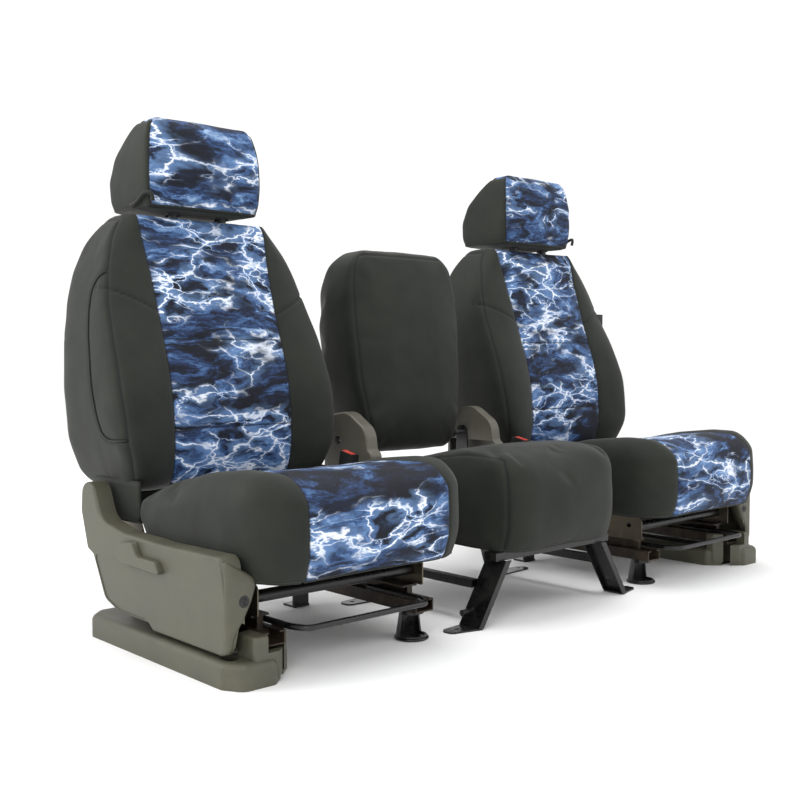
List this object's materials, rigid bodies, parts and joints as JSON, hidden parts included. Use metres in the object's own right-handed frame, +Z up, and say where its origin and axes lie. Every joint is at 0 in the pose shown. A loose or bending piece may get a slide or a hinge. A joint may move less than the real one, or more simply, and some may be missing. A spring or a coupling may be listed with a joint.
{
  "type": "seat cover set",
  "caption": "Fitted knit cover set with printed centre panels, shown pulled over a three-piece truck front seat row with tracks, recliners and headrests.",
  "frame": {"origin": "on the floor, at the centre of the four bolt holes of the centre seat", "axes": "+Z up, -Y towards the front of the seats, +X along the row towards the right-hand outer seat"},
  "size_m": [1.813, 0.8235, 1.126],
  "materials": {
    "charcoal_knit": "matte",
    "printed_knit": "matte",
    "seat_foam": "matte",
    "grey_moulding": "satin",
    "black_steel": "satin",
    "bright_steel": "satin",
    "track_steel": "satin",
    "buckle_plastic": "satin",
    "red_button": "satin",
    "plated_steel": "satin",
    "taupe_moulding": "satin"
  },
  "bodies": {
    "floor": {"lower_rails": "track_steel", "rail_feet": "black_steel", "cup_feet": "black_steel", "centre_front_legs": "black_steel", "centre_rear_legs": "black_steel", "centre_side_bars": "black_steel", "centre_seat_pan": "black_steel", "centre_cushion_foam": "seat_foam", "centre_cushion_cover": "charcoal_knit", "centre_hinge_brackets": "taupe_moulding", "centre_hinge_bolts": "bright_steel", "left_floor_skirt": "grey_moulding", "right_floor_skirt": "grey_moulding"},
    "left_seat": {"left_upper_rails": "track_steel", "left_side_plates": "plated_steel", "left_cross_tubes": "black_steel", "left_seat_pan": "black_steel", "left_recliner_pins": "bright_steel", "left_cushion_foam": "seat_foam", "left_cushion_cover": "charcoal_knit", "left_cushion_panel": "printed_knit", "left_side_trim": "grey_moulding", "left_buckle": "buckle_plastic"},
    "left_lever": {"left_recline_lever": "grey_moulding"},
    "left_bar": {"left_release_bar": "black_steel"},
    "left_button": {"left_buckle_button": "red_button"},
    "left_back": {"left_back_frame": "black_steel", "left_back_foam": "seat_foam", "left_back_cover": "charcoal_knit", "left_back_panel": "printed_knit", "left_headrest_guides": "buckle_plastic"},
    "left_headrest": {"left_headrest_posts": "bright_steel", "left_headrest_foam": "seat_foam", "left_headrest_cover": "charcoal_knit", "left_headrest_panel": "printed_knit"},
    "right_seat": {"right_upper_rails": "track_steel", "right_side_plates": "plated_steel", "right_cross_tubes": "black_steel", "right_seat_pan": "black_steel", "right_recliner_pins": "bright_steel", "right_cushion_foam": "seat_foam", "right_cushion_cover": "charcoal_knit", "right_cushion_panel": "printed_knit", "right_side_trim": "grey_moulding", "right_buckle": "buckle_plastic"},
    "right_lever": {"right_recline_lever": "grey_moulding"},
    "right_bar": {"right_release_bar": "black_steel"},
    "right_button": {"right_buckle_button": "red_button"},
    "right_back": {"right_back_frame": "black_steel", "right_back_foam": "seat_foam", "right_back_cover": "charcoal_knit", "right_back_panel": "printed_knit", "right_headrest_guides": "buckle_plastic"},
    "right_headrest": {"right_headrest_posts": "bright_steel", "right_headrest_foam": "seat_foam", "right_headrest_cover": "charcoal_knit", "right_headrest_panel": "printed_knit"},
    "centre_back": {"centre_back_frame": "black_steel", "centre_back_foam": "seat_foam", "centre_back_cover": "charcoal_knit"}
  },
  "joints": [
    {"name": "left_seat_slide", "type": "slide", "parent": "floor", "child": "left_seat", "axis": [0, -1, 0], "range_m": [-0.1, 0.1]},
    {"name": "left_backrest_recline", "type": "hinge", "parent": "left_seat", "child": "left_back", "pos_m": [-0.585, 0.31, 0.272], "axis": [-1, 0, 0], "range_deg": [-10, 30]},
    {"name": "left_headrest_height", "type": "slide", "parent": "left_back", "child": "left_headrest", "axis": [0, 0.1392, 0.9903], "range_m": [0, 0.06]},
    {"name": "left_lever_pull", "type": "hinge", "parent": "left_seat", "child": "left_lever", "pos_m": [-0.893, 0.17, 0.198], "axis": [-1, 0, 0], "range_deg": [0, 25], "stiffness_Nm_per_rad": 1.2, "springref_deg": -28.65},
    {"name": "left_release_bar_lift", "type": "hinge", "parent": "left_seat", "child": "left_bar", "pos_m": [-0.6, -0.05, 0.096], "axis": [-1, 0, 0], "range_deg": [0, 6], "stiffness_Nm_per_rad": 8, "springref_deg": -11.46},
    {"name": "left_button_press", "type": "slide", "parent": "left_seat", "child": "left_button", "axis": [0, 0.2079, -0.9781], "range_m": [0, 0.004], "stiffness_N_per_m": 600, "springref_m": -0.003},
    {"name": "right_seat_slide", "type": "slide", "parent": "floor", "child": "right_seat", "axis": [0, -1, 0], "range_m": [-0.1, 0.1]},
    {"name": "right_backrest_recline", "type": "hinge", "parent": "right_seat", "child": "right_back", "pos_m": [0.585, 0.31, 0.272], "axis": [-1, 0, 0], "range_deg": [-10, 30]},
    {"name": "right_headrest_height", "type": "slide", "parent": "right_back", "child": "right_headrest", "axis": [0, 0.1392, 0.9903], "range_m": [0, 0.06]},
    {"name": "right_lever_pull", "type": "hinge", "parent": "right_seat", "child": "right_lever", "pos_m": [0.893, 0.17, 0.198], "axis": [-1, 0, 0], "range_deg": [0, 25], "stiffness_Nm_per_rad": 1.2, "springref_deg": -28.65},
    {"name": "right_release_bar_lift", "type": "hinge", "parent": "right_seat", "child": "right_bar", "pos_m": [0.6, -0.05, 0.096], "axis": [-1, 0, 0], "range_deg": [0, 6], "stiffness_Nm_per_rad": 8, "springref_deg": -11.46},
    {"name": "right_button_press", "type": "slide", "parent": "right_seat", "child": "right_button", "axis": [0, 0.2079, -0.9781], "range_m": [0, 0.004], "stiffness_N_per_m": 600, "springref_m": -0.003},
    {"name": "centre_backrest_fold", "type": "hinge", "parent": "floor", "child": "centre_back", "pos_m": [0, 0.302, 0.38], "axis": [1, 0, 0], "range_deg": [0, 88]}
  ]
}
